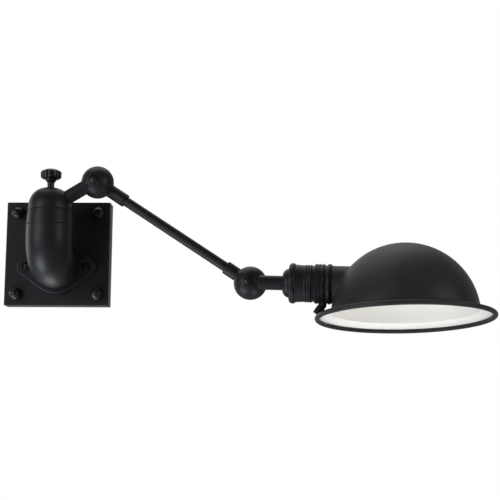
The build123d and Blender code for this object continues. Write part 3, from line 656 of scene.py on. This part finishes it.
class LAMP_OT_socket(bpy.types.Operator):
    """Finish the turned socket, its ring and the shade's collar"""
    bl_idname = "lamp.socket"
    bl_label = "Socket"

    def execute(self, context):
        colours = context.scene.lamp_colours
        dress(black_coat("turned_black", colours.coat, colours.coat_roughness, colours.coat_shine,
                         turn=SOCKET_TURN, rings=1600.0),
              "socket_cap", "socket_shell", "shade_holder", "shade_collar")
        return {"FINISHED"}


class LAMP_OT_hardware(bpy.types.Operator):
    """Finish the screws, nuts, studs, washers and the plate"""
    bl_idname = "lamp.hardware"
    bl_label = "Hardware"

    def execute(self, context):
        colours = context.scene.lamp_colours
        dress(black_coat("blackened_steel", colours.hardware, 0.34, 0.2, peel_scale=1400.0,
                         peel_depth=FINE_GRAIN),
              "canopy_nuts", "flange_screws", "upper_pivot_screw", "lower_pivot_screw",
              "thumb_screw", "shade_screw")
        dress(bare_metal("zinc_plate", colours.zinc, (0.42, 0.42, 0.38), 0.28, patch_scale=60.0),
              "mounting_plate", "mounting_studs", "flange_nuts", "pivot_post", "post_nut",
              "cap_grub_screw", "stop_pin", "upper_spring_washer", "upper_pivot_nut",
              "lower_spring_washer", "lower_pivot_nut", "socket_nipple")
        dress(vulcanised_fibre(colours), "upper_friction_washer", "lower_friction_washer",
              "insulating_liner")
        return {"FINISHED"}


class LAMP_OT_bulb_base(bpy.types.Operator):
    """Finish the porcelain and the brass inside the socket"""
    bl_idname = "lamp.bulb_base"
    bl_label = "Bulb Base"

    def execute(self, context):
        colours = context.scene.lamp_colours
        dress(glazed_porcelain(colours), "lamp_body")
        dress(bare_metal("brass", colours.brass, (0.45, 0.27, 0.1), 0.26, patch_scale=140.0,
                         turn=SOCKET_TURN, rings=2400.0),
              "screw_shell", "centre_contact", "body_screws")
        return {"FINISHED"}


class LAMP_OT_shade(bpy.types.Operator):
    """Model the spun shade: dome, side neck, brim and rolled rim"""
    bl_idname = "lamp.shade"
    bl_label = "Shade"

    def execute(self, context):
        sizes = context.scene.lamp_shade
        colours = context.scene.lamp_colours
        segments = context.scene.lamp_studio.ring_segments
        hinge = Matrix.Translation(SOCKET_POINT) @ SOCKET_TURN @ Matrix.Rotation(-sizes.roll, 4, "X")
        dome_place = (hinge @ Matrix.Translation((sizes.centre_ahead, 0, -sizes.centre_drop))
                      @ Matrix.Rotation(-sizes.cant, 4, "Y"))
        to_dome = dome_place.inverted() @ hinge

        deselect()
        bpy.ops.mesh.primitive_uv_sphere_add(
            segments=segments, ring_count=segments // 2, radius=sizes.dome_radius)
        shade = bpy.context.object
        shade.data.materials.append(black_coat(
            "shade_black", colours.shade_coat, colours.coat_roughness + 0.06, colours.coat_shine,
            peel_scale=600.0))
        shade.data.materials.append(white_enamel(colours))
        bpy.ops.object.mode_set(mode="EDIT")
        bpy.ops.mesh.bisect(plane_co=(0, 0, sizes.base_rise), plane_no=(0, 0, 1),
                            use_fill=True, clear_inner=True)
        bpy.ops.object.mode_set(mode="OBJECT")

        neck_end = sizes.centre_ahead - sizes.dome_radius / 2
        neck_length = neck_end - sizes.neck_start
        deselect()
        bpy.ops.mesh.primitive_cylinder_add(
            vertices=NECK_SIDES, radius=sizes.neck_radius, depth=neck_length)
        neck = bpy.context.object
        neck_middle = Matrix.Translation((sizes.neck_start + neck_length / 2, 0, 0))
        settle(neck, to_dome @ neck_middle @ Matrix.Rotation(pi / 2, 4, "Y"))

        combine(shade, neck, "UNION")

        axis_start = to_dome @ Vector((0, 0, 0))
        axis_way = (to_dome.to_3x3() @ Vector((1, 0, 0))).normalized()

        def on_neck(point):
            arm = point - axis_start
            away = (arm - axis_way * arm.dot(axis_way)).length
            return abs(away - sizes.neck_radius) < NEAR

        def on_dome(point):
            return abs(point.length - sizes.dome_radius) < 0.08 * MM

        def cap_face(face):
            middle = face.calc_center_median()
            floor = face.normal.z < -0.99 and abs(middle.z - sizes.base_rise) < 0.1 * MM
            mouth = abs((middle - axis_start).dot(axis_way) - sizes.neck_start) < 0.1 * MM
            return floor or mouth

        edit_select(shade, "VERT", lambda vert: True)
        bpy.ops.mesh.remove_doubles(threshold=0.02 * MM)
        edit_select(shade, "FACE", cap_face)
        bpy.ops.mesh.delete(type="ONLY_FACE")
        start_radius = (sizes.dome_radius ** 2 - sizes.base_rise ** 2) ** 0.5
        radius, height = start_radius, sizes.base_rise
        for across, down in LIP_STEPS:
            edit_select(shade, "EDGE", lambda edge: edge.is_boundary and all(
                abs(vert.co.z - height) < 0.1 * MM for vert in edge.verts))
            new_radius = start_radius + across * (sizes.rim_radius - start_radius)
            new_height = sizes.base_rise - down * (sizes.base_rise + sizes.rim_drop - sizes.lip_above)
            bpy.ops.mesh.extrude_edges_move(TRANSFORM_OT_translate={"value": (0, 0, new_height - height)})
            grow = new_radius / radius
            bpy.ops.transform.resize(value=(grow, grow, 1), center_override=(0, 0, 0))
            radius, height = new_radius, new_height
        bpy.ops.object.mode_set(mode="OBJECT")

        walls = shade.modifiers.new("sheet", "SOLIDIFY")
        walls.thickness, walls.offset = sizes.wall, -1
        walls.material_offset, walls.material_offset_rim = 1, 0
        apply_all(shade)
        edit_select(shade, "EDGE", lambda edge: all(
            on_neck(vert.co) and on_dome(vert.co) for vert in edge.verts))
        bpy.ops.mesh.bevel(offset=sizes.weld_radius, segments=4, profile=0.5, affect="EDGES")
        bpy.ops.object.mode_set(mode="OBJECT")

        deselect()
        bpy.ops.mesh.primitive_torus_add(
            location=(0, 0, -sizes.rim_drop), major_radius=sizes.rim_radius, minor_radius=sizes.roll_radius,
            major_segments=segments, minor_segments=WIRE_SIDES)
        rim = bpy.context.object
        settle(rim, Matrix.Identity(4))
        rim.data.materials.append(shade.data.materials[0])
        deselect()
        rim.select_set(True)
        shade.select_set(True)
        context.view_layer.objects.active = shade
        bpy.ops.object.join()
        bpy.ops.object.shade_smooth_by_angle(angle=SMOOTH_ANGLE)
        settle(shade, dome_place)
        finish_piece(shade, "spun_shade", "shade", "shade_enamel", "shade")
        return {"FINISHED"}


# ---- operator: the stage

def make_world(settings):
    """Plain white for the camera; dim walls with a bright back, brighter on the left, for everything else."""
    world = bpy.data.worlds.new("studio")
    bpy.context.scene.world = world
    world.use_nodes = True
    tree = world.node_tree
    tree.nodes.clear()
    way = tree.nodes.new("ShaderNodeTexCoord").outputs["Generated"]
    behind = add_node(tree, "ShaderNodeVectorMath", {0: way, 1: (0.0, 1.0, 0.0)}, operation="DOT_PRODUCT")
    leftness = add_node(tree, "ShaderNodeVectorMath", {0: way, 1: (-1.0, 0.0, 0.0)}, operation="DOT_PRODUCT")
    back = add_node(tree, "ShaderNodeMapRange", {
        "Value": behind.outputs["Value"], "From Min": 0.2, "From Max": 0.7}, interpolation_type="SMOOTHSTEP")
    sides = add_node(tree, "ShaderNodeMapRange", {
        "Value": leftness.outputs["Value"], "From Min": -0.6, "From Max": 0.6,
        "To Min": settings.back_right, "To Max": settings.back_left}, interpolation_type="SMOOTHSTEP")
    glow = math_node(tree, "MULTIPLY", back.outputs["Result"], sides.outputs["Result"])
    shine = math_node(tree, "ADD", glow, settings.front_shade)
    rays = tree.nodes.new("ShaderNodeLightPath")
    strength = add_node(tree, "ShaderNodeMix", {
        "Factor": rays.outputs["Is Glossy Ray"], "A": settings.ambient, "B": shine}, data_type="FLOAT")
    walls = add_node(tree, "ShaderNodeBackground", {
        "Color": (1, 1, 1, 1), "Strength": strength.outputs["Result"]})
    plain = add_node(tree, "ShaderNodeBackground", {"Color": (1, 1, 1, 1), "Strength": 1.0})
    seen = add_node(tree, "ShaderNodeMixShader", {
        0: rays.outputs["Is Camera Ray"], 1: walls.outputs[0], 2: plain.outputs[0]})
    end = tree.nodes.new("ShaderNodeOutputWorld")
    tree.links.new(seen.outputs[0], end.inputs["Surface"])


def floor_material(settings):
    """Pale floor with a faint drift; the camera sees it a little lighter than its light leaves it."""
    material, tree, shader, place = start_material("pale_floor")
    drift = add_node(tree, "ShaderNodeTexNoise", {"Vector": place, "Scale": 3.0, "Detail": 3.0})
    colour = mix_colour(tree, spread(tree, drift.outputs["Fac"], 0.0, 0.3), rgba(settings.floor_colour),
                        rgba(settings.floor_colour, 0.97))
    tree.links.new(colour, shader.inputs["Base Color"])
    rays = tree.nodes.new("ShaderNodeLightPath")
    tree.links.new(colour, shader.inputs["Emission Color"])
    tree.links.new(math_node(tree, "MULTIPLY", rays.outputs["Is Camera Ray"], settings.floor_lift),
                   shader.inputs["Emission Strength"])
    shader.inputs["Roughness"].default_value = 0.9
    return material


def area_lamp(name, place, aim, size, power, colour, spread_degrees):
    """A square soft lamp that faces a point."""
    deselect()
    bpy.ops.object.light_add(type="AREA", location=place)
    lamp = bpy.context.object
    lamp.name = name
    lamp.rotation_euler = (Vector(aim) - Vector(place)).to_track_quat("-Z", "Y").to_euler()
    lamp.data.size, lamp.data.energy, lamp.data.color = size, power, colour
    lamp.data.spread = radians(spread_degrees)


class LAMP_OT_studio(bpy.types.Operator):
    """Set the camera, the floor and the lights"""
    bl_idname = "lamp.studio"
    bl_label = "Studio"

    def execute(self, context):
        settings = context.scene.lamp_studio
        deselect()
        turn = (Matrix.Rotation(settings.camera_yaw, 3, "Z")
                @ Matrix.Rotation(pi / 2 + settings.camera_pitch, 3, "X")
                @ Matrix.Rotation(settings.camera_roll, 3, "Z"))
        bpy.ops.object.camera_add(location=settings.camera_place, rotation=turn.to_euler())
        camera = bpy.context.object
        camera.data.lens, camera.data.sensor_width = settings.lens, 36.0
        camera.data.clip_start, camera.data.clip_end = 0.01, 50.0
        context.scene.camera = camera

        deselect()
        bpy.ops.mesh.primitive_circle_add(
            vertices=FLOOR_SIDES, radius=settings.floor_radius, fill_type="NGON",
            location=(*FLOOR_CENTRE, settings.floor_height))
        floor = bpy.context.object
        floor.name = "floor"
        floor.data.materials.append(floor_material(settings))

        make_world(settings)
        for lamp in LAMPS:
            area_lamp(*lamp)
        context.scene.view_settings.view_transform = "Standard"
        return {"FINISHED"}


class LAMP_PT_sidebar(bpy.types.Panel):
    """The lamp's settings and steps"""
    bl_idname = "LAMP_PT_sidebar"
    bl_label = "Wall Lamp"
    bl_space_type = "VIEW_3D"
    bl_region_type = "UI"
    bl_category = "Wall Lamp"

    def draw(self, context):
        for settings in (context.scene.lamp_shade, context.scene.lamp_cap, context.scene.lamp_colours,
                         context.scene.lamp_studio):
            column = self.layout.column(align=True)
            for name in settings.__annotations__:
                column.prop(settings, name)
        for operator in OPERATORS:
            self.layout.operator(operator.bl_idname)


OPERATORS = (
    LAMP_OT_shared_effects, LAMP_OT_castings, LAMP_OT_swivel_cap, LAMP_OT_canopy, LAMP_OT_arm_tube,
    LAMP_OT_socket, LAMP_OT_hardware, LAMP_OT_bulb_base, LAMP_OT_shade, LAMP_OT_studio)
SETTINGS = {
    "lamp_shade": ShadeSizes, "lamp_cap": CapSizes, "lamp_colours": FinishColours,
    "lamp_studio": StudioSettings}


def register():
    for group in SETTINGS.values():
        bpy.utils.register_class(group)
    for name, group in SETTINGS.items():
        setattr(bpy.types.Scene, name, PointerProperty(type=group))
    for operator in OPERATORS:
        bpy.utils.register_class(operator)
    bpy.utils.register_class(LAMP_PT_sidebar)


def unregister():
    bpy.utils.unregister_class(LAMP_PT_sidebar)
    for operator in reversed(OPERATORS):
        bpy.utils.unregister_class(operator)
    for name in SETTINGS:
        delattr(bpy.types.Scene, name)
    for group in SETTINGS.values():
        bpy.utils.unregister_class(group)


def main():
    """Builds the whole lamp."""
    register()
    bpy.ops.lamp.shared_effects()
    bpy.ops.lamp.castings()
    bpy.ops.lamp.swivel_cap()
    bpy.ops.lamp.canopy()
    bpy.ops.lamp.arm_tube()
    bpy.ops.lamp.socket()
    bpy.ops.lamp.hardware()
    bpy.ops.lamp.bulb_base()
    bpy.ops.lamp.shade()
    bpy.ops.lamp.studio()


if __name__ == "__main__":
    main()
